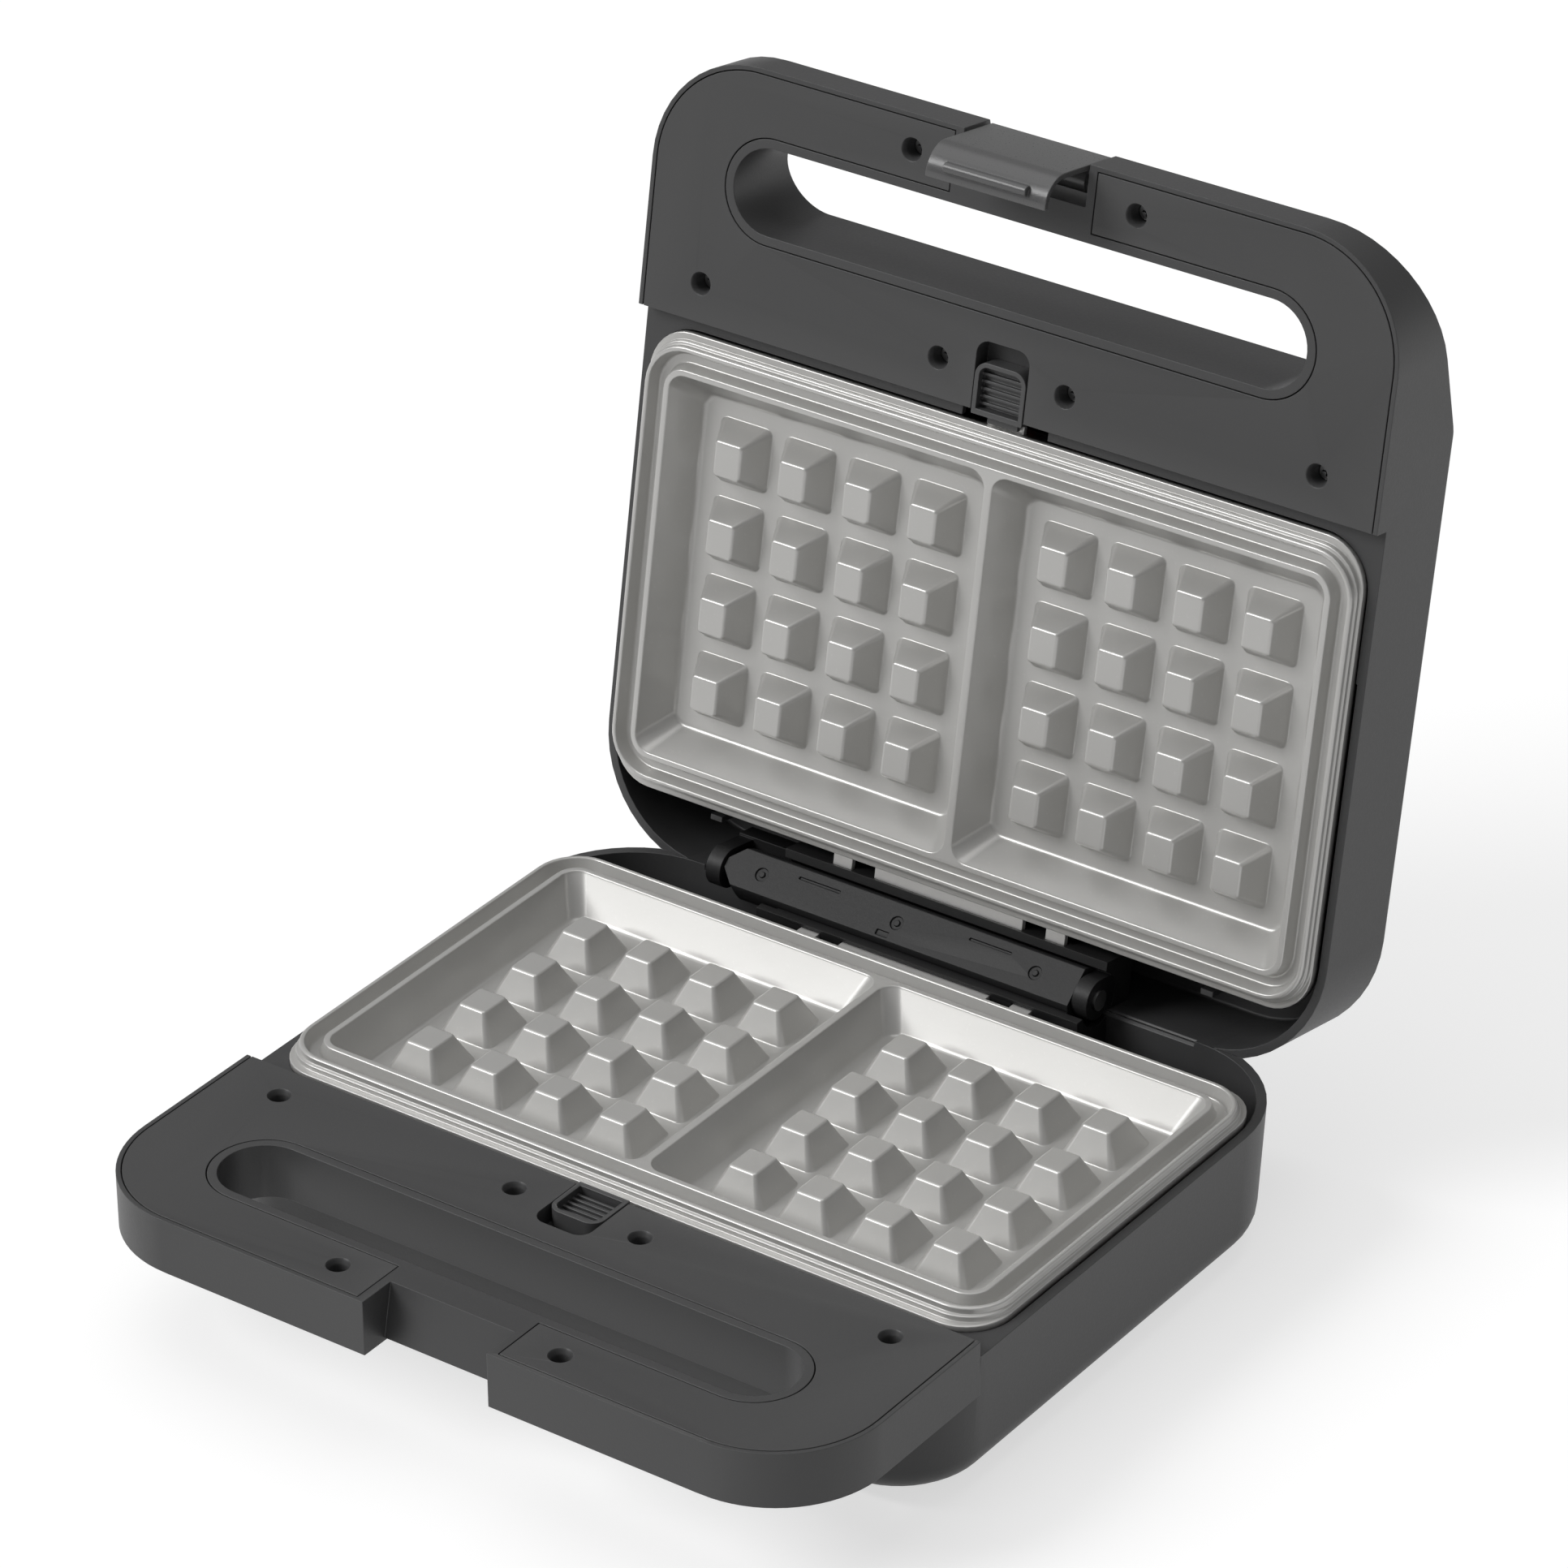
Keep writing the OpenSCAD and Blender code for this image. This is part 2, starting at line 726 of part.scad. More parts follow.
module latch() {
    color([0.17, 0.17, 0.175]) in_lid() difference() {
        union() {
            along_x(latch_w) latch_profile();
            translate([0, -latch_y, latch_z]) rotate([0, 90, 0])
                cylinder(h = latch_w - 6, r = 3.8, center = true);
            translate([-latch_w / 2 + 3, -148.4, latch_z - 2.5]) cube([latch_w - 6, 5, 5]);
            // The bead across the bend
            translate([0, -144.3, 18.1]) rotate([0, 90, 0])
                cylinder(h = latch_w - 12, r = 1.5, center = true);
        }
        translate([0, -latch_y, latch_z]) rotate([0, 90, 0])
            cylinder(h = big, r = latch_pin_r + 0.06, center = true);
    }
}

module latch_pin() {
    color([0.7, 0.7, 0.72]) in_lid() translate([0, -latch_y, latch_z]) rotate([0, 90, 0])
        cylinder(h = notch_w + 4, r = latch_pin_r, center = true);
}

base_shell();
base_handle_cover();
base_handle_screws();
base_plate();
base_heater_tray();
base_heater();
base_thermostat();
base_hinge_bracket();
hinge_cover();
hinge_pin();
rubber_feet();
cord_gland();
base_release_button();
lid_shell();
lid_handle_cover();
lid_handle_screws();
lid_plate();
lid_heater_tray();
lid_heater();
lid_thermal_fuse();
lid_hinge_bracket();
lid_release_button();
indicator_lenses();
latch();
latch_pin();
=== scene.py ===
# %% [markdown]
# # A two-slice waffle maker with its lid open
# The appliance is two nearly equal halves of dark moulded plastic, joined by a hinge at the
# back. Each half holds a cast cooking plate with a grey non-stick coating. The CAD model has
# the true sizes, so this lesson starts from it and spends its effort on what makes a surface
# believable: small rounded edges, a fine moulded grain, and light that shows them.

import json
from math import radians

import bmesh
import bpy
from mathutils import Matrix, Vector

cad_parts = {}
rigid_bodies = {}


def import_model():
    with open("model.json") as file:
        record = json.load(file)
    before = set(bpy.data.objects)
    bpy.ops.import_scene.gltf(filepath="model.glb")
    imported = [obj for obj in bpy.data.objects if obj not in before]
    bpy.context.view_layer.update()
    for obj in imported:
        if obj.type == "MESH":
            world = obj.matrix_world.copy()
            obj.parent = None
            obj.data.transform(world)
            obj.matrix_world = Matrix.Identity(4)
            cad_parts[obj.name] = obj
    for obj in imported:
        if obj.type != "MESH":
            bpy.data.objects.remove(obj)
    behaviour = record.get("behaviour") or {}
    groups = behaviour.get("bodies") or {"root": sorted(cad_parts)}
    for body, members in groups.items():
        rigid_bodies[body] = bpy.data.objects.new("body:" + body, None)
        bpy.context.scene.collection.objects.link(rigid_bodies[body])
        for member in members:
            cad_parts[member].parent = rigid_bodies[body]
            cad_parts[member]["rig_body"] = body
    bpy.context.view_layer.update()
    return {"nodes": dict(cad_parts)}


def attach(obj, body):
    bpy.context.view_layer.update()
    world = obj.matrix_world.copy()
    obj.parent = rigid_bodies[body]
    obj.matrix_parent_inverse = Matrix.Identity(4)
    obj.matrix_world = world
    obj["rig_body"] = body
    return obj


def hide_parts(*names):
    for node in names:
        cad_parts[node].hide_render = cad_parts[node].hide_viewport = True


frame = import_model()
scene = bpy.context.scene
print("CAD nodes:", len(frame["nodes"]))


# %% [markdown]
# ## The camera
# A long lens far away keeps the edges of the two halves almost parallel, as in a catalogue
# picture. The camera's three axes are given as the columns of its rotation, because the view
# was solved from the corners of the cooking plates, and angles would only round it off.

# %% Camera
LENS = 171.5
SENSOR_WIDTH = 36.0
FAR_LIMIT = 60.0
CAMERA_AT = (1.00995, -1.38486, 1.1307)
CAMERA_RIGHT = (0.81291, 0.58232, -0.00859)
CAMERA_BACK = (0.50737, -0.70089, 0.50132)


def add_camera():
    data = bpy.data.cameras.new("camera")
    data.sensor_width = SENSOR_WIDTH
    data.lens = LENS
    data.clip_end = FAR_LIMIT
    camera = bpy.data.objects.new("camera", data)
    right = Vector(CAMERA_RIGHT).normalized()
    back = Vector(CAMERA_BACK).normalized()
    up = back.cross(right).normalized()
    right = up.cross(back)
    turn = Matrix((right, up, back)).transposed().to_4x4()
    camera.matrix_world = Matrix.Translation(CAMERA_AT) @ turn
    scene.collection.objects.link(camera)
    scene.camera = camera
    return camera


camera = add_camera()
print("camera lens:", camera.data.lens)


# %% [markdown]
# ## The studio
# A product on white needs two things that pull apart: a background near white, and a plain
# level of light that leaves a dark plastic dark. So the floor is a middle grey that glows for
# the camera and in reflections, but sheds no light of its own, and it keeps the soft shadow.

# %% Studio floor
FLOOR_HALF_SIZE = 14.0
FLOOR_GREY = 0.5
FLOOR_GLOW = 0.62


def glowing_floor():
    """Plain grey, plus a glow that only camera rays and reflections see."""
    material = bpy.data.materials.new("studio_floor")
    material.use_nodes = True
    nodes, links = material.node_tree.nodes, material.node_tree.links
    nodes.clear()
    out = nodes.new("ShaderNodeOutputMaterial")
    add = nodes.new("ShaderNodeAddShader")
    paint = nodes.new("ShaderNodeBsdfDiffuse")
    paint.inputs["Color"].default_value = (FLOOR_GREY, FLOOR_GREY, FLOOR_GREY, 1)
    glow = nodes.new("ShaderNodeEmission")
    path = nodes.new("ShaderNodeLightPath")
    seen = nodes.new("ShaderNodeMath")
    seen.operation = "MAXIMUM"
    share = nodes.new("ShaderNodeMath")
    share.operation = "MULTIPLY"
    share.inputs[1].default_value = FLOOR_GLOW
    links.new(path.outputs["Is Camera Ray"], seen.inputs[0])
    links.new(path.outputs["Is Glossy Ray"], seen.inputs[1])
    links.new(seen.outputs[0], share.inputs[0])
    links.new(share.outputs[0], glow.inputs["Strength"])
    links.new(paint.outputs[0], add.inputs[0])
    links.new(glow.outputs[0], add.inputs[1])
    links.new(add.outputs[0], out.inputs["Surface"])
    return material


def studio_floor():
    bm = bmesh.new()
    bmesh.ops.create_grid(bm, x_segments=1, y_segments=1, size=FLOOR_HALF_SIZE)
    mesh = bpy.data.meshes.new("floor")
    bm.to_mesh(mesh)
    bm.free()
    mesh.materials.append(glowing_floor())
    floor = bpy.data.objects.new("floor", mesh)
    scene.collection.objects.link(floor)
    return floor


floor = studio_floor()
print("floor:", floor.name)


# %% [markdown]
# A key light from the front left, as wide as a window, puts a long highlight on every rounded
# edge and fills the rear walls of the cooking cavities. A wide light from above keeps the tops
# a little paler than the sides. The world is white to the camera and dim to everything else.

# %% Lamps and world
WORLD_SEEN = 1.0
WORLD_LIGHT = 0.25


def sun(name, source, strength, angle):
    """A sun whose light comes from the direction source; angle is its width in degrees."""
    data = bpy.data.lights.new(name, "SUN")
    data.energy = strength
    data.angle = radians(angle)
    lamp = bpy.data.objects.new(name, data)
    lamp.rotation_euler = (-Vector(source)).to_track_quat("-Z", "Y").to_euler()
    scene.collection.objects.link(lamp)


def studio_world():
    world = bpy.data.worlds.new("studio")
    scene.world = world
    world.use_nodes = True
    nodes, links = world.node_tree.nodes, world.node_tree.links
    background = nodes["Background"]
    background.inputs["Color"].default_value = (1, 1, 1, 1)
    path = nodes.new("ShaderNodeLightPath")
    strength = nodes.new("ShaderNodeMapRange")
    strength.inputs["To Min"].default_value = WORLD_LIGHT
    strength.inputs["To Max"].default_value = WORLD_SEEN
    links.new(path.outputs["Is Camera Ray"], strength.inputs["Value"])
    links.new(strength.outputs["Result"], background.inputs["Strength"])


studio_world()
sun("key", source=(-0.55, -0.6, 0.6), strength=1.75, angle=30)
sun("overhead", source=(-0.25, 0.1, 1.0), strength=0.8, angle=60)
scene.view_settings.view_transform = "Standard"


# %% [markdown]
# ## Surface effects as node groups
# Moulded plastic isn't smooth: the steel mould is spark eroded, which leaves a fine grain. A
# sprayed non-stick coating has tiny pits and faint clouds where the layer is thinner. The
# groups give only heights, tones and masks, so each material uses its own scale and strength.

# %% Node groups
def add_socket(group, name, kind, direction, value=None):
    socket = group.interface.new_socket(name=name, in_out=direction, socket_type=kind)
    if value is not None:
        socket.default_value = value


def surface_grain_group():
    """Fine grain for bump, a slow change of tone, and sparse specks."""
    group = bpy.data.node_groups.new("surface_grain", "ShaderNodeTree")
    add_socket(group, "Vector", "NodeSocketVector", "INPUT")
    add_socket(group, "Scale", "NodeSocketFloat", "INPUT", 1500.0)
    add_socket(group, "Cloud Scale", "NodeSocketFloat", "INPUT", 14.0)
    add_socket(group, "Height", "NodeSocketFloat", "OUTPUT")
    add_socket(group, "Tone", "NodeSocketFloat", "OUTPUT")
    add_socket(group, "Specks", "NodeSocketFloat", "OUTPUT")
    nodes, links = group.nodes, group.links
    start = nodes.new("NodeGroupInput")
    end = nodes.new("NodeGroupOutput")
    fine = nodes.new("ShaderNodeTexNoise")
    fine.inputs["Detail"].default_value = 2.0
    fine.inputs["Roughness"].default_value = 0.6
    cloud = nodes.new("ShaderNodeTexNoise")
    cloud.inputs["Detail"].default_value = 3.0
    # Only the highest peaks of the fine noise become specks
    specks = nodes.new("ShaderNodeMapRange")
    specks.inputs["From Min"].default_value = 0.62
    specks.inputs["From Max"].default_value = 0.72
    links.new(start.outputs["Vector"], fine.inputs["Vector"])
    links.new(start.outputs["Scale"], fine.inputs["Scale"])
    links.new(start.outputs["Vector"], cloud.inputs["Vector"])
    links.new(start.outputs["Cloud Scale"], cloud.inputs["Scale"])
    links.new(fine.outputs["Fac"], specks.inputs["Value"])
    links.new(fine.outputs["Fac"], end.inputs["Height"])
    links.new(cloud.outputs["Fac"], end.inputs["Tone"])
    links.new(specks.outputs["Result"], end.inputs["Specks"])
    return group


# Painted highlight: this mask marks convex edges, which the materials then paint in a paler
# tone.
def edge_highlight_group():
    """A mask that is bright on outward edges, for the painted highlight along them."""
    group = bpy.data.node_groups.new("painted_edge_highlight", "ShaderNodeTree")
    add_socket(group, "Low", "NodeSocketFloat", "INPUT", 0.52)
    add_socket(group, "High", "NodeSocketFloat", "INPUT", 0.62)
    add_socket(group, "Mask", "NodeSocketFloat", "OUTPUT")
    nodes, links = group.nodes, group.links
    start = nodes.new("NodeGroupInput")
    end = nodes.new("NodeGroupOutput")
    shape = nodes.new("ShaderNodeNewGeometry")
    ramp = nodes.new("ShaderNodeMapRange")
    links.new(shape.outputs["Pointiness"], ramp.inputs["Value"])
    links.new(start.outputs["Low"], ramp.inputs["From Min"])
    links.new(start.outputs["High"], ramp.inputs["From Max"])
    links.new(ramp.outputs["Result"], end.inputs["Mask"])
    return group


surface_grain = surface_grain_group()
painted_edge_highlight = edge_highlight_group()
print("groups:", [g.name for g in bpy.data.node_groups])


# %% [markdown]
# ## Materials
# One helper makes every finish, because they differ only in numbers: two tones that the slow
# noise mixes, a paler tone for the grain's peaks and, as a painted highlight, for outward
# edges, roughness with a little variation, and the depth of the grain. The dark plastic is
# rough, so it shows broad, dim highlights. The coating is smoother and a little metallic, so
# its rounded edges catch bright lines.

# %% Material helper
def blend(material, factor, under, over):
    """Mix two colours; under may be a colour or the socket of an earlier mix."""
    nodes, links = material.node_tree.nodes, material.node_tree.links
    mix = nodes.new("ShaderNodeMix")
    mix.data_type = "RGBA"
    if isinstance(under, bpy.types.NodeSocket):
        links.new(under, mix.inputs["A"])
    else:
        mix.inputs["A"].default_value = (*under, 1)
    mix.inputs["B"].default_value = (*over, 1)
    links.new(factor, mix.inputs["Factor"])
    return mix.outputs["Result"]


# The edge tone is both the colour of the specks and the painted highlight on outward edges.
def finish(name, dark, light, edge, rough, grain, depth, metallic=0.0, specular=0.5,
           cloud=14.0, speck=0.15):
    """A finish: tones, least and greatest roughness, grain scale and its depth in metres."""
    material = bpy.data.materials.new(name)
    material.use_nodes = True
    nodes, links = material.node_tree.nodes, material.node_tree.links
    shader = nodes["Principled BSDF"]
    shader.inputs["Metallic"].default_value = metallic
    shader.inputs["Specular IOR Level"].default_value = specular
    place = nodes.new("ShaderNodeTexCoord")
    texture = nodes.new("ShaderNodeGroup")
    texture.node_tree = surface_grain
    texture.inputs["Scale"].default_value = grain
    texture.inputs["Cloud Scale"].default_value = cloud
    links.new(place.outputs["Object"], texture.inputs["Vector"])
    dots = nodes.new("ShaderNodeMath")
    dots.operation = "MULTIPLY"
    dots.inputs[1].default_value = speck
    links.new(texture.outputs["Specks"], dots.inputs[0])
    # Painted highlight: outward edges are mixed towards the pale edge tone, standing in for
    # light on them.
    edge_highlight_mask = nodes.new("ShaderNodeGroup")
    edge_highlight_mask.node_tree = painted_edge_highlight
    tones = blend(material, texture.outputs["Tone"], dark, light)
    speckled = blend(material, dots.outputs[0], tones, edge)
    edges = blend(material, edge_highlight_mask.outputs["Mask"], speckled, edge)
    links.new(edges, shader.inputs["Base Color"])
    sheen = nodes.new("ShaderNodeMapRange")
    sheen.inputs["To Min"].default_value = rough[0]
    sheen.inputs["To Max"].default_value = rough[1]
    links.new(texture.outputs["Height"], sheen.inputs["Value"])
    links.new(sheen.outputs["Result"], shader.inputs["Roughness"])
    bump = nodes.new("ShaderNodeBump")
    bump.inputs["Strength"].default_value = 1.0
    bump.inputs["Distance"].default_value = depth
    links.new(texture.outputs["Height"], bump.inputs["Height"])
    links.new(bump.outputs["Normal"], shader.inputs["Normal"])
    return material


# %% [markdown]
# The plastics are all nearly black. They are told apart by how rough they are: the shells have
# the coarsest grain, the buttons are worn smoother by fingers, and the latch is painted.

# %% Plastics
shell_plastic = finish(
    "shell_plastic", dark=(0.047, 0.047, 0.048), light=(0.056, 0.056, 0.057),
    edge=(0.09, 0.09, 0.09), rough=(0.4, 0.54), grain=1400, depth=0.00003)
button_plastic = finish(
    "button_plastic", dark=(0.05, 0.05, 0.051), light=(0.062, 0.062, 0.063),
    edge=(0.11, 0.11, 0.11), rough=(0.32, 0.45), grain=1800, depth=0.00002)
hinge_plastic = finish(
    "hinge_plastic", dark=(0.008, 0.008, 0.0085), light=(0.012, 0.012, 0.0125),
    edge=(0.03, 0.03, 0.03), rough=(0.4, 0.55), grain=1500, depth=0.00003, specular=0.3)
latch_paint = finish(
    "latch_paint", dark=(0.075, 0.075, 0.076), light=(0.088, 0.088, 0.089),
    edge=(0.14, 0.14, 0.14), rough=(0.24, 0.34), grain=2200, depth=0.00002)
soft_rubber = finish(
    "soft_rubber", dark=(0.022, 0.022, 0.022), light=(0.03, 0.03, 0.03),
    edge=(0.05, 0.05, 0.05), rough=(0.6, 0.75), grain=900, depth=0.00004)
print("plastics:", len(bpy.data.materials))


# %% [markdown]
# The coating is the only one of these that shows much. The others are on parts that are small
# or inside the housings, and get a plain finish of the right kind.

# %% Metals, ceramic and lens
coating = finish(
    "non_stick_coating", dark=(0.49, 0.485, 0.47), light=(0.56, 0.555, 0.54),
    edge=(0.72, 0.71, 0.7), rough=(0.29, 0.38), grain=900, depth=0.00001, metallic=0.4,
    cloud=30.0, speck=0.12)
bright_sheet = finish(
    "bright_sheet", dark=(0.55, 0.55, 0.55), light=(0.65, 0.65, 0.65),
    edge=(0.75, 0.75, 0.75), rough=(0.28, 0.4), grain=900, depth=0.00002, metallic=1.0)
heated_steel = finish(
    "heated_steel", dark=(0.16, 0.14, 0.13), light=(0.27, 0.24, 0.22),
    edge=(0.35, 0.32, 0.3), rough=(0.45, 0.6), grain=1100, depth=0.00003, metallic=0.9)
ceramic = finish(
    "glazed_ceramic", dark=(0.7, 0.66, 0.56), light=(0.78, 0.74, 0.65),
    edge=(0.85, 0.82, 0.75), rough=(0.15, 0.25), grain=600, depth=0.00001)
zinc_steel = finish(
    "zinc_steel", dark=(0.2, 0.2, 0.21), light=(0.28, 0.28, 0.29),
    edge=(0.4, 0.4, 0.4), rough=(0.3, 0.42), grain=1200, depth=0.00002, metallic=1.0)
red_lens = finish(
    "red_lens", dark=(0.5, 0.05, 0.03), light=(0.55, 0.06, 0.035),
    edge=(0.6, 0.1, 0.06), rough=(0.08, 0.14), grain=400, depth=0.000005)
print("materials:", len(bpy.data.materials))


# %% [markdown]
# ## Where the halves are
# Base and lid are drawn in one half frame, in millimetres: z = 0 is the plane where they meet,
# and z falls into the half. Two matrices carry that frame to its place: the base stands up,
# and the lid is the same half mirrored and swung open about the hinge.

# %% Half frames
MEETING_HEIGHT = 48.0
HINGE_REACH = 81.8
OPEN_ANGLE = 100.4
TO_METRES = Matrix.Scale(0.001, 4)


def base_place():
    return TO_METRES @ Matrix.Translation((0, 0, MEETING_HEIGHT))


def lid_place():
    to_hinge = Matrix.Translation((0, HINGE_REACH, MEETING_HEIGHT))
    swing = Matrix.Rotation(radians(-OPEN_ANGLE), 4, "X")
    from_hinge = Matrix.Translation((0, -HINGE_REACH, 0))
    flip = Matrix.Diagonal((1, 1, -1, 1))
    return TO_METRES @ to_hinge @ swing @ from_hinge @ flip


print("lid frame:", [round(v, 3) for v in lid_place().translation])


# %% [markdown]
# ## The waffle plates
# The plate is a casting. Every edge is round where the metal left the mould, and there the
# coating shows its brightest lines, so the rounding is modelled, not faked. The outline starts
# as one square face whose corners are bevelled. Then one face is extruded and scaled, or inset
# and raised, ring by ring: that draws the flange, the double ridge and the gutter between.

# %% Faces that grow ring by ring
def rounded_face(bm, x, y, r, z, segments=8):
    """A flat face 2x by 2y with round corners."""
    made = bmesh.ops.create_grid(bm, x_segments=1, y_segments=1, size=1.0)
    corners = made["verts"]
    bmesh.ops.scale(bm, verts=corners, vec=(x, y, 1))
    bmesh.ops.translate(bm, verts=corners, vec=(0, 0, z))
    done = bmesh.ops.bevel(bm, geom=corners, offset=r, offset_type="OFFSET",
                           affect="VERTICES", segments=segments, profile=0.5, material=-1,
                           clamp_overlap=False)
    return done["verts"][0].link_faces[0]


def half_size(face):
    """Half a face's width, half its depth, and the middle of its box."""
    xs = [v.co.x for v in face.verts]
    ys = [v.co.y for v in face.verts]
    return (max(xs) - min(xs)) / 2, (max(ys) - min(ys)) / 2, face.calc_center_bounds()


def extrude_to(bm, face, x, y, z, keep=False):
    """Extrude one face, and give its new copy another size and height."""
    start = face
    made = bmesh.ops.extrude_face_region(bm, geom=[face])
    face = next(g for g in made["geom"] if isinstance(g, bmesh.types.BMFace))
    if not keep and start.is_valid:
        bmesh.ops.delete(bm, geom=[start], context="FACES_ONLY")
    old_x, old_y, middle = half_size(face)
    bmesh.ops.scale(bm, verts=face.verts, vec=(x / old_x, y / old_y, 1),
                    space=Matrix.Translation(-middle))
    bmesh.ops.translate(bm, verts=face.verts, vec=(0, 0, z - middle.z))
    return face


def inset_by(bm, face, steps):
    """Inset a face by steps of (inward, upward); the face itself moves."""
    for inward, upward in steps:
        bmesh.ops.inset_region(bm, faces=[face], thickness=inward, depth=upward,
                               use_even_offset=True, use_boundary=True)


# %% [markdown]
# A stud's foot has a small fillet and its top a round edge. The flanks between are one
# straight taper, so the stud comes out of the mould. Sizes are given as half widths, half
# depths and heights, and the fillets and edges as steps inward and upward.

# %% One stud
FLOOR = -11.3
STUD_TOP = -2.6
STUD_FOOT = (9.1, 9.75)
STUD_CORNER = 2.5
STUD_FILLET = [(0.3, 0.1), (0.22, 0.3)]
STUD_SHOULDER = (4.74, 5.39, STUD_TOP - 0.7)
STUD_BROW = (4.62, 5.27, STUD_TOP - 0.42)
STUD_EDGE = [(0.16, 0.2), (0.22, 0.14), (0.28, 0.07), (0.3, 0.01)]


def add_stud(bm):
    face = rounded_face(bm, *STUD_FOOT, STUD_CORNER, FLOOR, segments=4)
    inset_by(bm, face, STUD_FILLET)
    face = extrude_to(bm, face, *STUD_SHOULDER)
    face = extrude_to(bm, face, *STUD_BROW)
    inset_by(bm, face, STUD_EDGE)


def open_loop(bm, low, high):
    """The edges with one face, between two heights."""
    return [e for e in bm.edges if len(e.link_faces) == 1
            and all(low < v.co.z < high for v in e.verts)]


# %% [markdown]
# The cavity is a rounded mouth, a wall that slopes a little more at the front and back than at
# the sides, and a floor with a fillet all round. One stud is drawn and copied to sixteen
# places, and the cavity floor is filled in between their feet with triangles.

# %% One cavity with its studs
CAVITY_X = 53.25
CAVITY_Y = 56.6
PITCH_X = 22.0
PITCH_Y = 23.5
RIDGE_TOP = -0.15
MOUTH_MARGIN = 0.4
MOUTH_CORNER = 5.4
MOUTH_EDGE = [(0.25, -0.08), (0.17, -0.22), (0.1, -0.35)]
WALL_FOOT = (CAVITY_X - 5.0, CAVITY_Y - 6.0, FLOOR + 1.1)
FLOOR_FILLET = [(0.4, -0.6), (0.5, -0.35), (0.7, -0.15)]
FLOOR_REACH = 0.01


def stud_grid(bm):
    """Sixteen copies of one stud, in four columns and four rows."""
    stud = bmesh.new()
    add_stud(stud)
    stud_mesh = bpy.data.meshes.new("stud")
    stud.to_mesh(stud_mesh)
    stud.free()
    for column in range(4):
        for row in range(4):
            before = len(bm.verts)
            bm.from_mesh(stud_mesh)
            bm.verts.ensure_lookup_table()
            bmesh.ops.translate(bm, verts=bm.verts[before:],
                                vec=((column - 1.5) * PITCH_X, (row - 1.5) * PITCH_Y, 0))
    bpy.data.meshes.remove(stud_mesh)


def add_cavity(bm):
    face = rounded_face(bm, CAVITY_X + MOUTH_MARGIN, CAVITY_Y + MOUTH_MARGIN, MOUTH_CORNER,
                        RIDGE_TOP)
    inset_by(bm, face, MOUTH_EDGE)
    face = extrude_to(bm, face, *WALL_FOOT)
    inset_by(bm, face, FLOOR_FILLET)
    bmesh.ops.delete(bm, geom=[face], context="FACES_ONLY")
    stud_grid(bm)
    feet = open_loop(bm, FLOOR - FLOOR_REACH, FLOOR + FLOOR_REACH)
    bmesh.ops.triangle_fill(bm, use_beauty=True, edges=feet)


# %% [markdown]
# The rim starts as the casting's underside. Rings carry it out to the flange and up the outer
# ridge, and insets draw the gutter and the inner ridge. Four lugs hold the plate: three at the
# hinge, and one at the front that the release button covers.

# %% Rim and lugs
PAN = (109.7, 59.7)
PAN_CORNER = 12
PAN_UNDER = -14.3
FLANGE_UNDER = -7.4
RINGS = ((117.4, 68.4, -7.4), (117.4, 68.4, -3.9),
         (117.32, 68.3, -3.7), (117.1, 68.0, -3.6), (117.0, 66.5, -3.6),
         (116.85, 66.3, -3.45), (116.8, 66.2, -3.2), (116.8, 66.2, -2.3),
         (116.72, 66.1, -2.08), (116.5, 65.8, -2.0), (116.4, 65.3, -1.95),
         (116.3, 65.1, -1.75), (116.3, 65.1, -0.65), (116.2, 64.98, -0.38),
         (115.98, 64.72, -0.2))
GUTTER = [(0.28, 0.05), (0.45, 0.0), (0.22, -0.08), (0.16, -0.25),
          (1.0, -3.1), (0.25, -0.35), (0.4, -0.22), (1.9, 0.0), (0.4, 0.22),
          (0.25, 0.35), (0.9, 3.1), (0.16, 0.25), (0.22, 0.08)]
LUGS = (((-25, 66, -5.6), (25, 73.6, -3.8)),
        ((32.7, 66, -5.6), (39.1, 73.6, -3.8)),
        ((-39.1, 66, -5.6), (-32.7, 73.6, -3.8)),
        ((-6, -70.7, -7.4), (6, -66, -5.8)))
LUG_EDGE = 0.25


def add_rim(bm):
    """Underside, flange, outer ridge, gutter and inner ridge, from one face."""
    face = rounded_face(bm, *PAN, PAN_CORNER, PAN_UNDER)
    face = extrude_to(bm, face, *PAN, FLANGE_UNDER, keep=True)
    for ring in RINGS:
        face = extrude_to(bm, face, *ring)
    inset_by(bm, face, GUTTER)
    bmesh.ops.delete(bm, geom=[face], context="FACES_ONLY")


def add_lug(bm, low, high):
    """A block between two corners, with rounded edges."""
    made = bmesh.ops.create_cube(bm, size=1.0)
    size = [h - l for l, h in zip(low, high)]
    middle = [(h + l) / 2 for l, h in zip(low, high)]
    bmesh.ops.scale(bm, verts=made["verts"], vec=size)
    bmesh.ops.translate(bm, verts=made["verts"], vec=middle)
    edges = list({e for v in made["verts"] for e in v.link_edges})
    bmesh.ops.bevel(bm, geom=edges, offset=LUG_EDGE, offset_type="OFFSET", affect="EDGES",
                    segments=2, profile=0.5, material=-1)


# %% [markdown]
# The whole casting is two cavities side by side, the rim around them, and the flat land that
# joins their mouths to the inner ridge. Weighted normals keep the land flat beside the small
# round edges.

# %% The whole casting
CAVITY_OFFSET = 54.55
LAND_REACH = 0.06
FLAT_WEIGHT = 80


def add_land(bm):
    """Level the mouths and the inner ridge, and fill the face between them."""
    land = open_loop(bm, RIDGE_TOP - LAND_REACH, RIDGE_TOP + LAND_REACH)
    for v in {v for e in land for v in e.verts}:
        v.co.z = RIDGE_TOP
    bmesh.ops.triangle_fill(bm, use_beauty=True, edges=land)


def keep_flat(piece):
    weighted = piece.modifiers.new("flat_faces", "WEIGHTED_NORMAL")
    weighted.keep_sharp = False
    weighted.weight = FLAT_WEIGHT


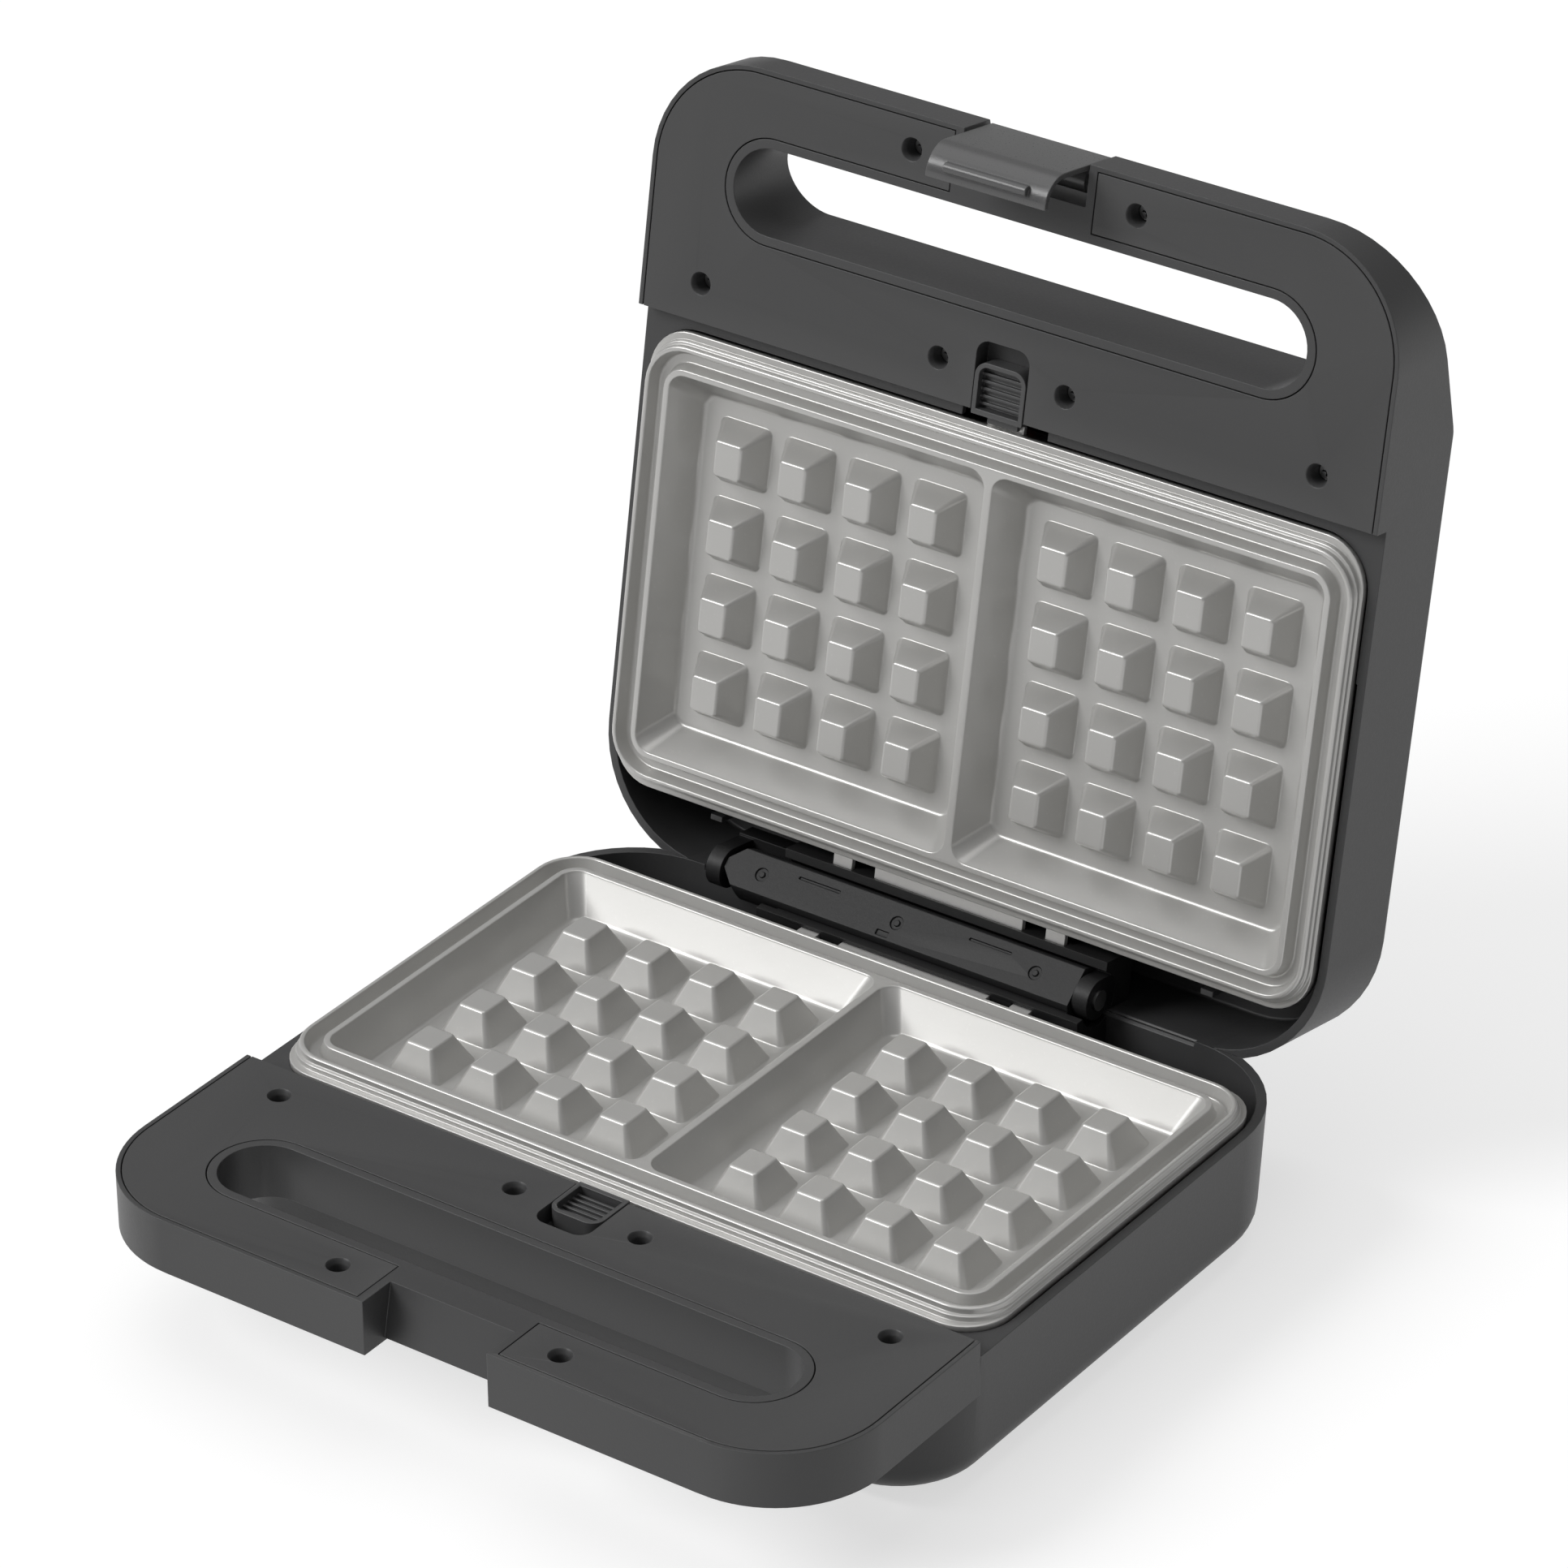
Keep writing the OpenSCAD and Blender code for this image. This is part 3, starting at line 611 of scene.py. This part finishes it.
def plate_casting(name, node, place):
    bm = bmesh.new()
    add_cavity(bm)
    bmesh.ops.translate(bm, verts=bm.verts, vec=(-CAVITY_OFFSET, 0, 0))
    twin = bmesh.ops.duplicate(bm, geom=bm.verts[:] + bm.edges[:] + bm.faces[:])
    moved = [g for g in twin["geom"] if isinstance(g, bmesh.types.BMVert)]
    bmesh.ops.translate(bm, verts=moved, vec=(2 * CAVITY_OFFSET, 0, 0))
    add_rim(bm)
    add_land(bm)
    for low, high in LUGS:
        add_lug(bm, low, high)
    bmesh.ops.transform(bm, matrix=place, verts=bm.verts)
    bmesh.ops.recalc_face_normals(bm, faces=bm.faces)
    open_edges = sum(len(e.link_faces) != 2 for e in bm.edges)
    for face in bm.faces:
        face.smooth = True
    mesh = bpy.data.meshes.new(name)
    bm.to_mesh(mesh)
    bm.free()
    mesh.materials.append(coating)
    plate = bpy.data.objects.new(name, mesh)
    scene.collection.objects.link(plate)
    keep_flat(plate)
    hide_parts(node)
    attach(plate, frame["nodes"][node]["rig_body"])
    print(name, "faces", len(mesh.polygons), "open edges", open_edges)


plate_casting("base_plate_casting", "base_plate", base_place())
plate_casting("lid_plate_casting", "lid_plate", lid_place())


# %% [markdown]
# ## Rounded edges
# No moulded edge is perfectly sharp, and the thin line of light along an edge is what the eye
# reads as real. The CAD solids have sharp edges, because their sizes matter more. So each
# solid is copied and merged, and a Bevel modifier rounds only the edges where two faces meet
# at a real corner. On the smaller parts the flat areas are first joined to single faces. The
# two shells keep their triangles, because joining them left slivers across the slots, and only
# their steeper corners are rounded. Weighted normals keep the large faces flat.

# %% Rounded copies
MERGE_REACH = 0.000004
SLIVER_REACH = 0.000002
FLAT_ANGLE = 0.05
EDGE_WIDTH = 0.0002
LATCH_EDGE_WIDTH = 0.0003
CORNER_ANGLE = 35
SHELL_CORNER_ANGLE = 60


def clean_copy(node, flat):
    """A merged copy of a CAD node's mesh; flat areas may be joined into single faces."""
    mesh = frame["nodes"][node].data.copy()
    bm = bmesh.new()
    bm.from_mesh(mesh)
    bmesh.ops.remove_doubles(bm, verts=bm.verts, dist=MERGE_REACH)
    bmesh.ops.dissolve_degenerate(bm, edges=bm.edges, dist=SLIVER_REACH)
    if flat:
        bmesh.ops.dissolve_limit(bm, angle_limit=radians(FLAT_ANGLE), verts=bm.verts,
                                 edges=bm.edges)
    for face in bm.faces:
        face.smooth = True
    bm.to_mesh(mesh)
    bm.free()
    mesh.materials.clear()
    piece = bpy.data.objects.new(node + "_finished", mesh)
    scene.collection.objects.link(piece)
    return piece


def round_edges(node, material, width=EDGE_WIDTH, angle=CORNER_ANGLE, flat=True):
    """Replace a CAD node by a copy whose corners steeper than angle are rounded."""
    piece = clean_copy(node, flat)
    bevel = piece.modifiers.new("rounded_edges", "BEVEL")
    bevel.width = width
    bevel.segments = 2
    bevel.limit_method = "ANGLE"
    bevel.angle_limit = radians(angle)
    bevel.miter_outer = "MITER_ARC"
    bevel.use_clamp_overlap = False
    keep_flat(piece)
    piece.data.materials.append(material)
    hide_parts(node)
    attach(piece, frame["nodes"][node]["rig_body"])
    return piece


pieces = [
    round_edges("base_shell", shell_plastic, angle=SHELL_CORNER_ANGLE, flat=False),
    round_edges("lid_shell", shell_plastic, angle=SHELL_CORNER_ANGLE, flat=False),
    round_edges("base_handle_cover", shell_plastic),
    round_edges("lid_handle_cover", shell_plastic),
    round_edges("base_release_button", button_plastic),
    round_edges("lid_release_button", button_plastic),
    round_edges("latch", latch_paint, width=LATCH_EDGE_WIDTH),
    round_edges("base_hinge_bracket", hinge_plastic),
    round_edges("lid_hinge_bracket", hinge_plastic),
    round_edges("hinge_cover", hinge_plastic),
]
print("rounded:", [p.name for p in pieces])


# %% [markdown]
# ## Finishes of the other parts
# The parts that hardly show keep their CAD shape, and only get their true finish.

# %% Finishes
def paint(node, material):
    mesh = frame["nodes"][node].data
    mesh.materials.clear()
    mesh.materials.append(material)


painted = (
    ("base_handle_screws", zinc_steel), ("lid_handle_screws", zinc_steel),
    ("base_heater_tray", bright_sheet), ("lid_heater_tray", bright_sheet),
    ("base_heater", heated_steel), ("lid_heater", heated_steel),
    ("base_thermostat", ceramic), ("lid_thermal_fuse", ceramic),
    ("hinge_pin", zinc_steel), ("latch_pin", zinc_steel),
    ("rubber_feet", soft_rubber), ("cord_gland", soft_rubber),
    ("indicator_lenses", red_lens))
for node, material in painted:
    paint(node, material)
print("painted CAD nodes:", len(painted))
